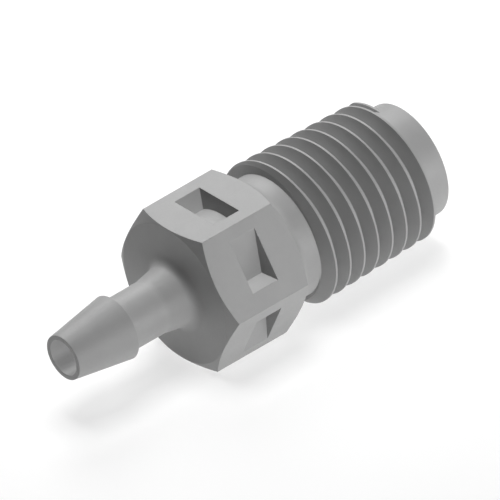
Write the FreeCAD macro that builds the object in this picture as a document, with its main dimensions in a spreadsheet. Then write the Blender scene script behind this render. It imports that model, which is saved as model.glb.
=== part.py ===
import FreeCAD, Part
import math
import os
import Sketcher

# A straight hose barb fitting, moulded in one piece, in millimetres. The axis is +X, from the
# barb's mouth to the threaded end. Two of the hexagon's flats are square to Z. The origin is the
# middle of the barb's mouth.

NODE = "barb_fitting"
# A sketch's own origin, as a constraint names it.
SKETCH_ORIGIN = (-1, 1)

SIZES = [
    ("tip_radius", 1.22, "outside of the barb at its mouth"),
    ("barb_length", 3.43, "from the mouth to the barb's sharp edge"),
    ("barb_radius", 1.75, "at the barb's sharp edge"),
    ("shank_radius", 1.445, "behind the barb"),
    ("shank_length", 3.87, "from the barb's edge to the hexagon's front face"),
    ("flare_length", 1.57, "cone at the shank's root, to the hexagon's front face"),
    ("flare_angle", 10.0, "side of that cone, in degrees from the axis"),
    ("shank_fillet", 0.55, "from that cone into the hexagon's front face"),
    ("hex_flats", 7.75, "across the flats"),
    ("hex_length", 5.21, "from the front face to the back face"),
    ("hex_face_radius", 3.85, "round end faces, inside the corner chamfers"),
    ("hex_chamfer_angle", 30.0, "corner chamfers, in degrees from the end faces"),
    ("pocket_length", 1.63, "pockets in the flats, along the axis"),
    ("pocket_width", 2.78, "top and bottom pockets, across their floor"),
    ("pocket_floor_radius", 2.98, "top and bottom pockets' floor, round about the axis"),
    ("pocket_draft", 5.0, "side walls of those two pockets, in degrees"),
    ("ledge_inset", 2.73, "side pockets' inner wall at the ledge, from the axis"),
    ("ledge_height", 0.71, "side pockets' ledge at the inner wall, from the parting plane"),
    ("ledge_slope", 6.2, "rise of the ledge towards the outside, in degrees"),
    ("ledge_wall_draft", 3.8, "lean of the side pockets' inner wall, in degrees"),
    ("neck_length", 1.41, "from the hexagon's back face to the thread's start"),
    ("neck_fillet", 0.7, "radius of the curve from the neck to the hexagon's back face"),
    ("neck_fillet_rise", 0.45, "height of that curve above the neck"),
    ("thread_radius", 4.014, "crest at the thread's start, its large end"),
    ("thread_taper", 16.0, "length in which the diameter loses one"),
    ("thread_pitch", 0.9407, "27 turns to the inch"),
    ("thread_length", 7.64, "from the thread's start to where its last turn begins to fade"),
    ("thread_lead", 0.229, "from the thread's start to the first crest on top"),
    ("thread_crest", 0.113, "width of the crest"),
    ("thread_root", 0.056, "width of the root"),
    ("thread_flank_angle", 30.0, "flanks, in degrees from square to the axis"),
    ("thread_fade", 37.0, "turn over which the last crest fades away, in degrees"),
    ("end_radius", 3.065, "plain end, at its face"),
    ("end_length", 0.98, "plain end, from where the last crest begins to fade"),
    ("hose_bore_radius", 0.975, "waterway through the barb and shank"),
    ("wide_bore_radius", 2.0, "waterway through the thread and hexagon"),
    ("wide_bore_depth", 13.64, "full width of the wide bore, from the threaded end"),
    ("bore_step_angle", 60.0, "cone between the two bores, in degrees from the axis"),
]

HEX_FRONT = "(Sizes.barb_length + Sizes.shank_length)"
HEX_BACK = f"({HEX_FRONT} + Sizes.hex_length)"
HEX_MIDDLE = f"({HEX_FRONT} + Sizes.hex_length / 2)"
HEX_FLAT = "(Sizes.hex_flats / 2)"
HEX_CORNER = f"({HEX_FLAT} / cos(30))"
OUTSIDE_HEX = f"({HEX_CORNER} + Sizes.hex_flats / 16)"
THREAD_START = f"({HEX_BACK} + Sizes.neck_length)"
THREAD_END = f"({THREAD_START} + Sizes.thread_length)"
FITTING_END = f"({THREAD_END} + Sizes.end_length)"

# The thread is one ridge wound on a core of the same taper. Its foot is sunk in the core. It
# begins a turn early, on top, and is cut off square at the thread's start.
SLOPE = "(1 / (2 * Sizes.thread_taper))"
RIDGE_BASE = "(Sizes.thread_pitch - Sizes.thread_root)"
RIDGE_HEIGHT = f"(({RIDGE_BASE} - Sizes.thread_crest) / 2 / tan(Sizes.thread_flank_angle))"
RIDGE_START = f"({THREAD_START} + Sizes.thread_lead - Sizes.thread_pitch)"
RIDGE_TURNS = f"(({THREAD_END} - {RIDGE_START}) / Sizes.thread_pitch)"
FADE_TURNS = "(Sizes.thread_fade / 360)"
RIDGE_END = f"({THREAD_END} + Sizes.thread_pitch * {FADE_TURNS} + {RIDGE_BASE} / 2)"
CORE_START = f"({RIDGE_START} - Sizes.thread_pitch)"
NECK_RADIUS = f"(Sizes.thread_radius - {RIDGE_HEIGHT})"


def make_document():
    """The document and its sheet of driving sizes."""
    doc = FreeCAD.newDocument("HoseBarbFitting")
    sheet = doc.addObject("Spreadsheet::Sheet", "Sizes")
    for row, (alias, value, meaning) in enumerate(SIZES, start=1):
        sheet.set(f"A{row}", alias)
        sheet.set(f"B{row}", str(value))
        sheet.set(f"C{row}", meaning)
        sheet.setAlias(f"B{row}", alias)
    doc.recompute()
    return doc


def crest_radius(place):
    """The thread's crest radius at a place along the axis."""
    return f"(Sizes.thread_radius - ({place} - {THREAD_START}) * {SLOPE})"


def root_radius(place):
    """The thread's root radius at a place along the axis."""
    return f"({crest_radius(place)} - {RIDGE_HEIGHT})"


def add_sketch(body, name, plane, offset="0", turned="0"):
    """An empty sketch on one of the body's origin planes, or set off from it or turned from it
    about the sketch's own horizontal axis, in degrees."""
    sketch = body.newObject("Sketcher::SketchObject", name)
    origin_plane = next(item for item in body.Origin.OriginFeatures if item.Role == plane)
    sketch.AttachmentSupport = [(origin_plane, "")]
    sketch.MapMode = "FlatFace"
    sketch.AttachmentOffset = FreeCAD.Placement(
        FreeCAD.Vector(), FreeCAD.Rotation(FreeCAD.Vector(1, 0, 0), 1))
    sketch.setExpression(".AttachmentOffset.Base.z", offset)
    sketch.setExpression(".AttachmentOffset.Rotation.Angle", turned)
    return sketch


def arc_between(first, last, radius, turns_left):
    """The short arc of a radius from one point to another, bending left or right on its way."""
    chord = last - first
    towards_centre = FreeCAD.Vector(-chord.y, chord.x, 0).normalize() * (1 if turns_left else -1)
    centre = first + chord / 2 + towards_centre * math.sqrt(radius ** 2 - (chord.Length / 2) ** 2)
    start, end = (first, last) if turns_left else (last, first)
    start_angle = math.atan2(start.y - centre.y, start.x - centre.x)
    end_angle = math.atan2(end.y - centre.y, end.x - centre.x)
    circle = Part.Circle(centre, FreeCAD.Vector(0, 0, 1), radius)
    return Part.ArcOfCircle(circle, start_angle, end_angle)


def add_outline(sketch, corners, arcs=None):
    """A closed outline in a sketch. Its corners are pairs of expressions. Its sides are straight,
    except those in arcs, which gives a side's radius and whether it bends left."""
    arcs = arcs or {}
    points = [FreeCAD.Vector(*(float(sketch.evalExpression(term)) for term in corner), 0)
              for corner in corners]
    sides = []
    for number, first in enumerate(points):
        last = points[(number + 1) % len(points)]
        if number in arcs:
            radius, turns_left = arcs[number]
            side = arc_between(first, last, float(sketch.evalExpression(radius)), turns_left)
            geometry = sketch.addGeometry(side, False)
            sides.append((geometry, 1, 2) if turns_left else (geometry, 2, 1))
            bind(sketch, radius, "Radius", geometry)
        else:
            geometry = sketch.addGeometry(Part.LineSegment(first, last), False)
            sides.append((geometry, 1, 2))
    for number, (geometry, begins, ends) in enumerate(sides):
        next_geometry, next_begins, next_ends = sides[(number + 1) % len(sides)]
        sketch.addConstraint(
            Sketcher.Constraint("Coincident", geometry, ends, next_geometry, next_begins))
        bind(sketch, corners[number][0], "DistanceX", *SKETCH_ORIGIN, geometry, begins)
        bind(sketch, corners[number][1], "DistanceY", *SKETCH_ORIGIN, geometry, begins)


def bind(sketch, expression, kind, *where):
    """A constraint of a sketch whose value follows an expression."""
    value = float(sketch.evalExpression(expression))
    index = sketch.addConstraint(Sketcher.Constraint(kind, *where, value))
    sketch.setExpression(f"Constraints[{index}]", expression)


def about_axis(body, kind, name, sketch):
    """A feature that turns a sketch all the way round the fitting's axis."""
    feature = body.newObject(kind, name)
    feature.Profile = sketch
    feature.ReferenceAxis = (sketch, ["H_Axis"])
    feature.Angle = 360
    return feature


def ridge_corners(crest):
    """Section of the thread's ridge, with its crest at a place along the axis. The flanks run on a
    little way into the core, so that they cross its surface, and the foot then goes straight in."""
    half_foot = f"({RIDGE_BASE} / 2 + Sizes.thread_root / 4)"
    foot = f"({root_radius(crest)} - Sizes.thread_root / 4 / tan(Sizes.thread_flank_angle))"
    sunk = f"({root_radius(crest)} - {RIDGE_HEIGHT} / 8)"
    return [
        (f"{crest} - {half_foot}", sunk),
        (f"{crest} - {half_foot}", foot),
        (f"{crest} - Sizes.thread_crest / 2", crest_radius(crest)),
        (f"{crest} + Sizes.thread_crest / 2", crest_radius(crest)),
        (f"{crest} + {half_foot}", foot),
        (f"{crest} + {half_foot}", sunk),
    ]


def add_ridge(doc, body):
    """The thread's ridge, swept along a tapering right-hand helix that begins on top."""
    path = doc.addObject("Part::Helix", "RidgePath")
    path.setExpression("Pitch", "Sizes.thread_pitch")
    path.setExpression("Height", f"{THREAD_END} - {RIDGE_START}")
    path.setExpression("Radius", crest_radius(RIDGE_START))
    path.setExpression("Angle", f"-atan({SLOPE})")
    path.SegmentLength = 1
    begins, turns_to, along = (0, 0, 1), (0, -1, 0), (1, 0, 0)
    path.Placement = FreeCAD.Placement(
        FreeCAD.Vector(), FreeCAD.Rotation(*map(FreeCAD.Vector, (begins, turns_to, along))))
    path.setExpression(".Placement.Base.x", RIDGE_START)

    section = add_sketch(body, "RidgeSection", "XZ_Plane")
    add_outline(section, ridge_corners(RIDGE_START))
    doc.recompute()
    ridge = body.newObject("PartDesign::AdditivePipe", "Ridge")
    ridge.Profile = section
    ridge.Spine = (path, [f"Edge{number + 1}" for number in range(len(path.Shape.Edges))])
    ridge.Mode = "Binormal"
    ridge.Binormal = FreeCAD.Vector(along)


def add_fading_end(body):
    """The ridge's last stretch, which sinks into the core as it turns on. It starts a hair before
    the ridge's end, so that the two overlap."""
    overlap = f"({FADE_TURNS} / 50)"
    fade_start = f"({THREAD_END} - Sizes.thread_pitch * {overlap})"
    section = add_sketch(
        body, "FadeSection", "XZ_Plane", turned=f"({RIDGE_TURNS} - {overlap}) * 360")
    add_outline(section, ridge_corners(fade_start))
    fade = body.newObject("PartDesign::AdditiveHelix", "RidgeFade")
    fade.Profile = section
    fade.ReferenceAxis = (section, ["H_Axis"])
    fade.Mode = "height-turns-growth"
    fade.setExpression("Height", f"Sizes.thread_pitch * {FADE_TURNS}")
    fade.setExpression("Turns", FADE_TURNS)
    fade.setExpression("Growth", f"-({RIDGE_HEIGHT} + Sizes.thread_root) / {FADE_TURNS}")


def add_thread(doc, body):
    """The tapered core with its plain end, the ridge wound on it, and its square start."""
    core = add_sketch(body, "ThreadCoreOutline", "XZ_Plane")
    add_outline(core, [
        (CORE_START, "0"),
        (CORE_START, root_radius(CORE_START)),
        (RIDGE_END, root_radius(RIDGE_END)),
        (FITTING_END, "Sizes.end_radius"),
        (FITTING_END, "0"),
    ])
    about_axis(body, "PartDesign::Revolution", "ThreadCore", core)
    add_ridge(doc, body)
    add_fading_end(body)

    early = add_sketch(body, "EarlyTurnOutline", "XZ_Plane")
    outside = f"({crest_radius(CORE_START)} + {RIDGE_HEIGHT})"
    before_core = f"({CORE_START} - Sizes.thread_pitch)"
    add_outline(early, [
        (before_core, "0"),
        (before_core, outside),
        (THREAD_START, outside),
        (THREAD_START, "0"),
    ])
    return about_axis(body, "PartDesign::Groove", "SquareStart", early)


def add_stem(body):
    """Barb, shank with its flare, the solid middle of the hexagon, and neck, with a curve at each
    end face."""
    stem = add_sketch(body, "StemOutline", "XZ_Plane")
    curve = "Sizes.shank_fillet"
    flare = "Sizes.flare_angle"
    flare_rise = f"(Sizes.flare_length - {curve}) * tan({flare})"
    curve_top = f"(Sizes.shank_radius + {flare_rise} + {curve} / cos({flare}))"
    rise = "Sizes.neck_fillet_rise"
    fillet_length = f"sqrt(2 * Sizes.neck_fillet * {rise} - {rise} ^ 2)"
    shank_curve = 5
    neck_curve = 8
    add_outline(stem, [
        ("0", "0"),
        ("0", "Sizes.tip_radius"),
        ("Sizes.barb_length", "Sizes.barb_radius"),
        ("Sizes.barb_length", "Sizes.shank_radius"),
        (f"{HEX_FRONT} - Sizes.flare_length", "Sizes.shank_radius"),
        (f"{HEX_FRONT} - {curve} * (1 - sin({flare}))", f"{curve_top} - {curve} * cos({flare})"),
        (HEX_FRONT, curve_top),
        (HEX_BACK, curve_top),
        (HEX_BACK, f"{NECK_RADIUS} + {rise}"),
        (f"{HEX_BACK} + {fillet_length}", NECK_RADIUS),
        (THREAD_START, NECK_RADIUS),
        (THREAD_START, "0"),
    ], {
        shank_curve: (curve, True),
        neck_curve: ("Sizes.neck_fillet", True),
    })
    about_axis(body, "PartDesign::Revolution", "Stem", stem)


def add_hexagon(body):
    """The wrench hexagon, with its corners cut back at 30 degrees at both ends."""
    section = add_sketch(body, "HexagonSection", "YZ_Plane", HEX_FRONT)
    add_outline(section, [
        (f"{HEX_CORNER} * cos({60 * corner})", f"{HEX_CORNER} * sin({60 * corner})")
        for corner in range(6)
    ])
    hexagon = body.newObject("PartDesign::Pad", "Hexagon")
    hexagon.Profile = section
    hexagon.setExpression("Length", "Sizes.hex_length")

    corners = add_sketch(body, "CornerOutline", "XZ_Plane")
    cut_back = f"({OUTSIDE_HEX} - Sizes.hex_face_radius) * tan(Sizes.hex_chamfer_angle)"
    for face, inwards in ((HEX_FRONT, "+"), (HEX_BACK, "-")):
        add_outline(corners, [
            (face, "Sizes.hex_face_radius"),
            (f"{face} {inwards} {cut_back}", OUTSIDE_HEX),
            (face, OUTSIDE_HEX),
        ])
    return about_axis(body, "PartDesign::Groove", "CornerChamfers", corners)


def add_pockets(body):
    """A pocket in each flat, halfway along the hexagon. The top and bottom ones have a round
    floor. The four at the sides are open towards the mould's parting plane, down to a ledge."""
    sketch = add_sketch(body, "PocketSection", "YZ_Plane", HEX_MIDDLE)
    half_width = "(Sizes.pocket_width / 2)"
    floor = f"sqrt(Sizes.pocket_floor_radius ^ 2 - {half_width} ^ 2)"
    top_half_width = f"({half_width} + ({OUTSIDE_HEX} - {floor}) * tan(Sizes.pocket_draft))"
    ledge_outside = (
        f"(Sizes.ledge_height + ({OUTSIDE_HEX} - Sizes.ledge_inset) * tan(Sizes.ledge_slope))")
    wall_top = (
        f"(Sizes.ledge_inset"
        f" - ({OUTSIDE_HEX} - Sizes.ledge_height) * tan(Sizes.ledge_wall_draft))")
    floor_side = 0
    for up in ("", "-"):
        add_outline(sketch, [
            (f"-{half_width}", f"{up}{floor}"),
            (half_width, f"{up}{floor}"),
            (top_half_width, f"{up}{OUTSIDE_HEX}"),
            (f"-{top_half_width}", f"{up}{OUTSIDE_HEX}"),
        ], {floor_side: ("Sizes.pocket_floor_radius", up == "-")})
        for out in ("", "-"):
            add_outline(sketch, [
                (f"{out}Sizes.ledge_inset", f"{up}Sizes.ledge_height"),
                (f"{out}{OUTSIDE_HEX}", f"{up}{ledge_outside}"),
                (f"{out}{OUTSIDE_HEX}", f"{up}{OUTSIDE_HEX}"),
                (f"{out}{wall_top}", f"{up}{OUTSIDE_HEX}"),
            ])
    pockets = body.newObject("PartDesign::Pocket", "Pockets")
    pockets.Profile = sketch
    pockets.SideType = "Symmetric"
    pockets.setExpression("Length", "Sizes.pocket_length")
    return pockets


def add_waterway(body):
    """The narrow bore from the barb's mouth and the wide bore from the threaded end."""
    outline = add_sketch(body, "WaterwayOutline", "XZ_Plane")
    wide_start = f"({FITTING_END} - Sizes.wide_bore_depth)"
    step = "(Sizes.wide_bore_radius - Sizes.hose_bore_radius) / tan(Sizes.bore_step_angle)"
    add_outline(outline, [
        ("0", "0"),
        ("0", "Sizes.hose_bore_radius"),
        (f"{wide_start} - {step}", "Sizes.hose_bore_radius"),
        (wide_start, "Sizes.wide_bore_radius"),
        (FITTING_END, "Sizes.wide_bore_radius"),
        (FITTING_END, "0"),
    ])
    return about_axis(body, "PartDesign::Groove", "Waterway", outline)


def check_cut(feature):
    """A cut that removes nothing points the wrong way."""
    if feature.Shape.Volume >= feature.BaseFeature.Shape.Volume:
        raise RuntimeError(f"{feature.Name} cuts nothing")


def check_document(doc, body):
    """Every object is computed, and the fitting is one valid solid."""
    for item in doc.Objects:
        if "Invalid" in item.State or "Error" in item.State:
            raise RuntimeError(f"{item.Name} failed: {item.State}")
    if body.Shape.isNull() or not body.Shape.isValid() or len(body.Shape.Solids) != 1:
        raise RuntimeError(f"{body.Label} isn't one valid solid")


doc = make_document()
fitting = doc.addObject("PartDesign::Body", "Fitting")
fitting.Label = NODE
fitting.Placement = FreeCAD.Placement()
square_start = add_thread(doc, fitting)
add_stem(fitting)
chamfers = add_hexagon(fitting)
pockets = add_pockets(fitting)
waterway = add_waterway(fitting)
doc.recompute()

check_document(doc, fitting)
for cut in (square_start, chamfers, pockets, waterway):
    check_cut(cut)
os.makedirs("parts", exist_ok=True)
fitting.Shape.exportStep(f"parts/{fitting.Label}.step")
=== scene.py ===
import math

import bmesh
import bpy
from mathutils import Matrix, Vector


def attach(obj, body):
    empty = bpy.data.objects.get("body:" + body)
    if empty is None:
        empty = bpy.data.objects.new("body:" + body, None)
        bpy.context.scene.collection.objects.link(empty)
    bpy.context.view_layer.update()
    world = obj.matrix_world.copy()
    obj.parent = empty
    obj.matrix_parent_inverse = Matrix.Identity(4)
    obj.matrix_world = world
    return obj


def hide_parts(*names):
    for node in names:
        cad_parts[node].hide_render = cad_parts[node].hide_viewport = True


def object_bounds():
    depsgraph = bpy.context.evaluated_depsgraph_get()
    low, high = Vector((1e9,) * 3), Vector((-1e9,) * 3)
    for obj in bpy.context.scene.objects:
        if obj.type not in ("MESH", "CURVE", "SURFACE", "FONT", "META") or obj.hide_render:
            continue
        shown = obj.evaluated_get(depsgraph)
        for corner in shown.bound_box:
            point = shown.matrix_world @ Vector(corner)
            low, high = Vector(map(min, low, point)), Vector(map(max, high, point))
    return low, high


# A straight hose barb fitting of grey moulded plastic, lying on a pale floor. Lengths are in
# millimetres, and MM turns them into the scene's metres. The axis is +X from the barb's mouth.
MM = 0.001

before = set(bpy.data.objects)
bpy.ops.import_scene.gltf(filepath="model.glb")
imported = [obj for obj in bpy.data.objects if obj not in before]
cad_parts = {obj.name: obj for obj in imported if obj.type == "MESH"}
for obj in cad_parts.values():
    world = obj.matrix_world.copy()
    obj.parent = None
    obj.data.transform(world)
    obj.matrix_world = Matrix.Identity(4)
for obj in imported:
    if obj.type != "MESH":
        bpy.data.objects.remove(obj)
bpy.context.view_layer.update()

# Barb, shank, the shank's flare and the curve into the hexagon. The blend keeps smooth shading close
# to where the flare starts.
TIP_RADIUS = 1.22
BARB_LENGTH = 3.43
BARB_RADIUS = 1.75
SHANK_RADIUS = 1.445
FLARE_LENGTH = 1.57
FLARE_ANGLE = math.radians(10)
FLARE_BLEND = 0.15
SHANK_FILLET = 0.55

# Hexagon.
HEX_FRONT = 7.30
HEX_BACK = 12.51
HEX_FLAT = 3.875
HEX_FACE_RADIUS = 3.85
CHAMFER_ANGLE = math.radians(30)

# Pockets in the flats.
POCKET_LENGTH = 1.63
POCKET_WIDTH = 2.78
POCKET_FLOOR_RADIUS = 2.98
POCKET_DRAFT = math.radians(5)
LEDGE_INSET = 2.73
LEDGE_HEIGHT = 0.71
LEDGE_SLOPE = math.radians(6.2)
LEDGE_WALL_DRAFT = math.radians(3.8)

# Neck and thread, with 27 turns to the inch. The first crest's place is given on the fitting's top.
NECK_FILLET = 0.7
NECK_FILLET_RISE = 0.45
THREAD_START = 13.92
THREAD_RADIUS = 4.014
THREAD_SLOPE = 1 / 32
THREAD_PITCH = 25.4 / 27
THREAD_LEAD = 0.229
THREAD_LENGTH = 7.64
THREAD_CREST = 0.113
THREAD_ROOT = 0.056
THREAD_FLANK = math.radians(30)
THREAD_FADE = 37 / 360
END_RADIUS = 3.065
END_LENGTH = 0.98

# Waterway.
HOSE_BORE_RADIUS = 0.975
WIDE_BORE_RADIUS = 2.0
WIDE_BORE_DEPTH = 13.64
BORE_STEP_ANGLE = math.radians(60)

RIDGE_BASE = THREAD_PITCH - THREAD_ROOT
RIDGE_HEIGHT = (RIDGE_BASE - THREAD_CREST) / 2 / math.tan(THREAD_FLANK)
NECK_RADIUS = THREAD_RADIUS - RIDGE_HEIGHT
FADE_START = THREAD_START + THREAD_LENGTH
THREAD_END = FADE_START + RIDGE_BASE / 2 + THREAD_PITCH * THREAD_FADE
FITTING_END = FADE_START + END_LENGTH
TOP = math.pi / 2

# The mesh: columns round the axis, steps in a curve, the distance under which points are merged,
# the angle from which edges stay sharp, and how far cutters reach past the hexagon's corners.
COLUMNS = 240
FILLET_STEPS = 10
MERGE_DISTANCE = 0.0005
SHARP_ANGLE = math.radians(25)
CUTTER_REACH = 0.5

# The plastic: scales of its clouds and of its grain, the ranges of tone and roughness, the grain's
# depth and the radius of the softened edges.
CLOUDS_SCALE = 700
GRAIN_SCALE = 9000
TONE = (0.29, 0.31)
ROUGHNESS = (0.5, 0.62)
GRAIN_DEPTH = 0.01
GRAIN_STRENGTH = 0.2
EDGE_RADIUS = 0.035
EDGE_SAMPLES = 6

# The photograph's camera: its right, up and backward directions, the scale of its picture, and
# where the middle of the picture lies from the mouth, to the right and up.
CAMERA_RIGHT = Vector((0.7527, -0.6508, -0.1000))
CAMERA_UP = Vector((0.4337, 0.3757, 0.8190))
CAMERA_BACK = Vector((-0.4954, -0.6598, 0.5651))
PIXELS_PER_MM = 20.3011
PICTURE_WIDTH = 500
PICTURE_MIDDLE = (9.1985, 5.3082)
CAMERA_DISTANCE = 120.0
CAMERA_CLIP = (1.0, 4000.0)

# The soft lights: name, azimuth, elevation, power in watts and whether each casts shadows. The
# fills cast none, so they reach into the pockets and the waterway.
LIGHTS = [
    ("top", 0, 90, 0.086, True),
    ("key", 60, 45, 0.045, True),
    ("key_fill", 60, 45, 0.182, False),
    ("right_fill", 300, 5, 0.150, False),
]
LIGHT_DISTANCE = 150.0
LIGHT_SIZE = 75.0
SURROUNDINGS = 0.01

# The floor, from its middle to its sides, with its tone, roughness and faint glow.
FLOOR_REACH = 2000.0
FLOOR_TONE = 0.9
FLOOR_ROUGHNESS = 0.9
FLOOR_GLOW = 0.09


def root_radius(x):
    """Radius of the thread's root at a place along the axis."""
    return THREAD_RADIUS - (x - THREAD_START) * THREAD_SLOPE - RIDGE_HEIGHT


def arc(centre, radius, start, end):
    """Points on an arc in the plane of the axis, as (along, out), its ends included."""
    points = []
    for step in range(FILLET_STEPS + 1):
        angle = start + (end - start) * step / FILLET_STEPS
        points.append((centre[0] + radius * math.cos(angle), centre[1] + radius * math.sin(angle)))
    return points


def hexagon_radius(angle):
    """Distance from the axis to the hexagon's side, which has a flat on top."""
    from_flat = (angle - TOP + math.pi / 6) % (math.pi / 3) - math.pi / 6
    return HEX_FLAT / math.cos(from_flat)


def stem_column(angle):
    """The outline at one angle round the axis, from the mouth to the thread's start."""
    side = hexagon_radius(angle)
    face = min(HEX_FACE_RADIUS, side)
    cut_back = (side - face) * math.tan(CHAMFER_ANGLE)
    flare_start = HEX_FRONT - FLARE_LENGTH
    flare_rise = (FLARE_LENGTH - SHANK_FILLET) * math.tan(FLARE_ANGLE)
    curve_top = SHANK_RADIUS + flare_rise + SHANK_FILLET / math.cos(FLARE_ANGLE)
    shank_curve = arc(
        (HEX_FRONT - SHANK_FILLET, curve_top), SHANK_FILLET, FLARE_ANGLE - TOP, 0)
    reach = math.sqrt(2 * NECK_FILLET * NECK_FILLET_RISE - NECK_FILLET_RISE ** 2)
    neck_curve = arc(
        (HEX_BACK + reach, NECK_RADIUS + NECK_FILLET), NECK_FILLET,
        -math.pi + math.acos(reach / NECK_FILLET), -TOP)
    return [
        (0, TIP_RADIUS),
        (BARB_LENGTH, BARB_RADIUS),
        (BARB_LENGTH, SHANK_RADIUS),
        (flare_start - FLARE_BLEND, SHANK_RADIUS),
        (flare_start, SHANK_RADIUS),
        (flare_start + FLARE_BLEND, SHANK_RADIUS + FLARE_BLEND * math.tan(FLARE_ANGLE)),
        *shank_curve,
        (HEX_FRONT, face),
        (HEX_FRONT + cut_back, side),
        (HEX_BACK - cut_back, side),
        (HEX_BACK, face),
        *neck_curve,
        (THREAD_START, NECK_RADIUS),
    ]


def ridge_height(crest):
    """Height of the thread's ridge over the root. Its last turn sinks into the core as it ends."""
    sunk = (crest - FADE_START) / (THREAD_PITCH * THREAD_FADE)
    return RIDGE_HEIGHT - (RIDGE_HEIGHT + THREAD_ROOT) * min(1, max(0, sunk))


def ridge_points(crest):
    """Foot, crest and foot of the thread's ridge at one angle, as (along, height)."""
    height = max(0, ridge_height(crest))
    half_foot = THREAD_CREST / 2 + height * math.tan(THREAD_FLANK)
    return [
        (crest - half_foot, 0),
        (crest - THREAD_CREST / 2, height),
        (crest + THREAD_CREST / 2, height),
        (crest + half_foot, 0),
    ]


def height_at_start(points):
    """The ridge's height where the thread's square start cuts it."""
    for (x, height), (next_x, next_height) in zip(points, points[1:]):
        if x <= THREAD_START < next_x:
            return height + (next_height - height) * (THREAD_START - x) / (next_x - x)
    return 0


def thread_column(turned):
    """The thread's outline at an angle round the axis, in turns past the top."""
    points = []
    for turn in range(-2, round(THREAD_LENGTH / THREAD_PITCH) + 2):
        points += ridge_points(THREAD_START + THREAD_LEAD + THREAD_PITCH * (turned + turn))
    column = []
    for x, height in points:
        if x < THREAD_START:
            x, height = THREAD_START, height_at_start(points)
        x = min(x, THREAD_END)
        column.append((x, root_radius(x) + height))
    return column


def end_column():
    """The outline from the thread's end round the threaded end and back through the waterway."""
    wide_start = FITTING_END - WIDE_BORE_DEPTH
    step = (WIDE_BORE_RADIUS - HOSE_BORE_RADIUS) / math.tan(BORE_STEP_ANGLE)
    return [
        (FITTING_END, END_RADIUS),
        (FITTING_END, WIDE_BORE_RADIUS),
        (wide_start, WIDE_BORE_RADIUS),
        (wide_start - step, HOSE_BORE_RADIUS),
        (0, HOSE_BORE_RADIUS),
        (0, TIP_RADIUS),
    ]


def on_ring(x, radius, angle):
    """A point in the scene, from its place along, out from and round the axis."""
    return Vector((x, radius * math.cos(angle), radius * math.sin(angle))) * MM


def fitting_mesh():
    """The whole fitting but its pockets, built column by column round the axis."""
    mesh = bmesh.new()
    columns = []
    for index in range(COLUMNS + 1):
        turned = index / COLUMNS
        angle = TOP + turned * 2 * math.pi
        outline = stem_column(angle) + thread_column(turned) + end_column()
        columns.append([mesh.verts.new(on_ring(x, radius, angle)) for x, radius in outline])
    for left, right in zip(columns, columns[1:]):
        for row in range(len(left) - 1):
            mesh.faces.new((left[row], left[row + 1], right[row + 1], right[row]))
    bmesh.ops.remove_doubles(mesh, verts=mesh.verts, dist=MERGE_DISTANCE * MM)
    bmesh.ops.recalc_face_normals(mesh, faces=mesh.faces)
    return mesh


def prism(name, outline):
    """A cutter with this outline across the axis, as long as the pockets."""
    middle = (HEX_FRONT + HEX_BACK) / 2
    mesh = bmesh.new()
    ends = []
    for x in (middle - POCKET_LENGTH / 2, middle + POCKET_LENGTH / 2):
        ends.append([mesh.verts.new(Vector((x, y, z)) * MM) for y, z in outline])
    for index in range(len(outline)):
        after = (index + 1) % len(outline)
        mesh.faces.new((ends[0][index], ends[0][after], ends[1][after], ends[1][index]))
    mesh.faces.new(ends[0])
    mesh.faces.new(ends[1])
    bmesh.ops.recalc_face_normals(mesh, faces=mesh.faces)
    return make_object(name, mesh)


def make_object(name, mesh):
    """An object in the scene from a bmesh, which is freed."""
    data = bpy.data.meshes.new(name)
    mesh.to_mesh(data)
    mesh.free()
    made = bpy.data.objects.new(name, data)
    bpy.context.scene.collection.objects.link(made)
    return made


def pocket_outlines():
    """Outlines across the axis of the six pockets, as (across, up)."""
    outside = HEX_FLAT / math.cos(math.pi / 6) + CUTTER_REACH
    half_angle = math.asin(POCKET_WIDTH / 2 / POCKET_FLOOR_RADIUS)
    floor = []
    for step in range(FILLET_STEPS * 2 + 1):
        angle = TOP + half_angle - half_angle * step / FILLET_STEPS
        floor.append((POCKET_FLOOR_RADIUS * math.cos(angle), POCKET_FLOOR_RADIUS * math.sin(angle)))
    widening = (outside - floor[0][1]) * math.tan(POCKET_DRAFT)
    half_top = POCKET_WIDTH / 2 + widening
    top = floor + [(half_top, outside), (-half_top, outside)]
    side = [
        (LEDGE_INSET, LEDGE_HEIGHT),
        (outside, LEDGE_HEIGHT + (outside - LEDGE_INSET) * math.tan(LEDGE_SLOPE)),
        (outside, outside),
        (LEDGE_INSET - (outside - LEDGE_HEIGHT) * math.tan(LEDGE_WALL_DRAFT), outside),
    ]
    outlines = []
    for up in (1, -1):
        outlines.append([(y, z * up) for y, z in top])
        outlines += [[(y * out, z * up) for y, z in side] for out in (1, -1)]
    return outlines


def make_fitting(material):
    """The fitting with its pockets cut."""
    fitting = make_object("fitting_body", fitting_mesh())
    cutters = [prism(f"cutter_{index}", outline) for index, outline in enumerate(pocket_outlines())]
    for cutter in cutters:
        cut = fitting.modifiers.new(cutter.name, "BOOLEAN")
        cut.operation = "DIFFERENCE"
        cut.solver = "EXACT"
        cut.object = cutter
    graph = bpy.context.evaluated_depsgraph_get()
    cut_mesh = bpy.data.meshes.new_from_object(fitting.evaluated_get(graph))
    fitting.modifiers.clear()
    fitting.data = cut_mesh
    for cutter in cutters:
        bpy.data.objects.remove(cutter)
    cut_mesh.shade_smooth()
    cut_mesh.set_sharp_from_angle(angle=SHARP_ANGLE)
    weigh = fitting.modifiers.new("weighted_normals", "WEIGHTED_NORMAL")
    weigh.keep_sharp = True
    cut_mesh.materials.clear()
    cut_mesh.materials.append(material)
    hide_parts("barb_fitting")
    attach(fitting, "root")
    return fitting


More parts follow.
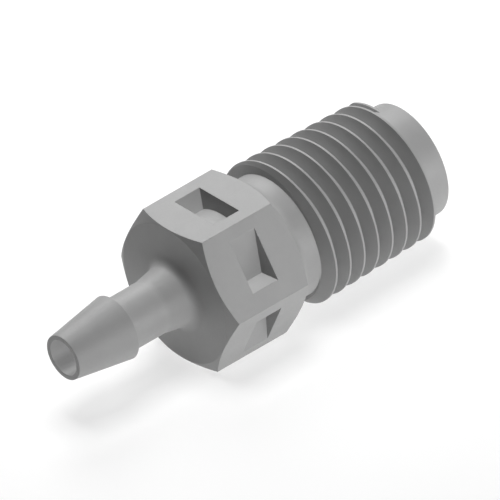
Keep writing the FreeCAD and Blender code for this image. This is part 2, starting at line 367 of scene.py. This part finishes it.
def moulded_plastic():
    """Grey matte plastic: slightly uneven in tone, with the fine grain of its mould and softly
    rounded edges."""
    material = bpy.data.materials.new("moulded_plastic")
    material.use_nodes = True
    nodes, links = material.node_tree.nodes, material.node_tree.links
    shader = nodes["Principled BSDF"]
    place = nodes.new("ShaderNodeTexCoord")

    def noise(scale, detail):
        """Noise that is fixed to the fitting."""
        texture = nodes.new("ShaderNodeTexNoise")
        texture.inputs["Scale"].default_value = scale
        texture.inputs["Detail"].default_value = detail
        links.new(place.outputs["Object"], texture.inputs["Vector"])
        return texture.outputs["Fac"]

    def spread(value, low, high):
        """The middle of a noise's range, spread from low to high."""
        scaled = nodes.new("ShaderNodeMapRange")
        scaled.inputs["From Min"].default_value = 0.3
        scaled.inputs["From Max"].default_value = 0.7
        scaled.inputs["To Min"].default_value = low
        scaled.inputs["To Max"].default_value = high
        links.new(value, scaled.inputs["Value"])
        return scaled.outputs["Result"]

    clouds = noise(CLOUDS_SCALE, 4)
    grain = noise(GRAIN_SCALE, 3)
    tone = nodes.new("ShaderNodeCombineColor")
    for channel in ("Red", "Green", "Blue"):
        links.new(spread(clouds, *TONE), tone.inputs[channel])
    links.new(tone.outputs["Color"], shader.inputs["Base Color"])
    links.new(spread(grain, *ROUGHNESS), shader.inputs["Roughness"])
    rounded = nodes.new("ShaderNodeBevel")
    rounded.samples = EDGE_SAMPLES
    rounded.inputs["Radius"].default_value = EDGE_RADIUS * MM
    bump = nodes.new("ShaderNodeBump")
    bump.inputs["Strength"].default_value = GRAIN_STRENGTH
    bump.inputs["Distance"].default_value = GRAIN_DEPTH * MM
    links.new(grain, bump.inputs["Height"])
    links.new(rounded.outputs["Normal"], bump.inputs["Normal"])
    links.new(bump.outputs["Normal"], shader.inputs["Normal"])
    return material


def floor_material():
    """Plain pale floor."""
    material = bpy.data.materials.new("floor")
    material.use_nodes = True
    shader = material.node_tree.nodes["Principled BSDF"]
    shader.inputs["Base Color"].default_value = (FLOOR_TONE, FLOOR_TONE, FLOOR_TONE, 1)
    shader.inputs["Roughness"].default_value = FLOOR_ROUGHNESS
    shader.inputs["Emission Color"].default_value = (1, 1, 1, 1)
    shader.inputs["Emission Strength"].default_value = FLOOR_GLOW
    return material


def make_floor(height):
    """A wide floor at the height of the fitting's lowest point."""
    mesh = bmesh.new()
    bmesh.ops.create_grid(mesh, x_segments=1, y_segments=1, size=FLOOR_REACH * MM)
    floor = make_object("floor", mesh)
    floor.location.z = height
    floor.data.materials.append(floor_material())


def make_light(name, azimuth, elevation, power, shadows):
    """A square soft light aimed at the fitting's middle, from an azimuth about +Z counted from +X
    and an elevation, in degrees."""
    around, above = math.radians(azimuth), math.radians(elevation)
    towards = Vector((
        math.cos(above) * math.cos(around), math.cos(above) * math.sin(around), math.sin(above)))
    data = bpy.data.lights.new(name, "AREA")
    data.size = LIGHT_SIZE * MM
    data.energy = power
    data.use_shadow = shadows
    light = bpy.data.objects.new(name, data)
    light.location = (Vector((FITTING_END / 2, 0, 0)) + towards * LIGHT_DISTANCE) * MM
    light.rotation_mode = "QUATERNION"
    light.rotation_quaternion = towards.to_track_quat("Z", "Y")
    bpy.context.scene.collection.objects.link(light)


def make_world():
    """Even white surroundings, which give next to no light."""
    world = bpy.data.worlds.new("surroundings")
    world.use_nodes = True
    background = world.node_tree.nodes["Background"]
    background.inputs["Color"].default_value = (1, 1, 1, 1)
    background.inputs["Strength"].default_value = SURROUNDINGS
    bpy.context.scene.world = world


def make_camera():
    """The photograph's camera."""
    data = bpy.data.cameras.new("camera")
    data.type = "ORTHO"
    data.ortho_scale = PICTURE_WIDTH / PIXELS_PER_MM * MM
    data.clip_start, data.clip_end = (distance * MM for distance in CAMERA_CLIP)
    camera = bpy.data.objects.new("camera", data)
    aim = CAMERA_RIGHT * PICTURE_MIDDLE[0] + CAMERA_UP * PICTURE_MIDDLE[1]
    turned = Matrix((CAMERA_RIGHT, CAMERA_UP, CAMERA_BACK)).transposed().normalized()
    place = Matrix.Translation((aim + CAMERA_BACK * CAMERA_DISTANCE) * MM)
    camera.matrix_world = place @ turned.to_4x4()
    bpy.context.scene.collection.objects.link(camera)
    bpy.context.scene.camera = camera


bpy.context.scene.view_settings.view_transform = "Standard"
make_camera()
make_fitting(moulded_plastic())
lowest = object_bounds()[0].z
make_floor(lowest)
make_world()
for name, azimuth, elevation, power, shadows in LIGHTS:
    make_light(name, azimuth, elevation, power, shadows)
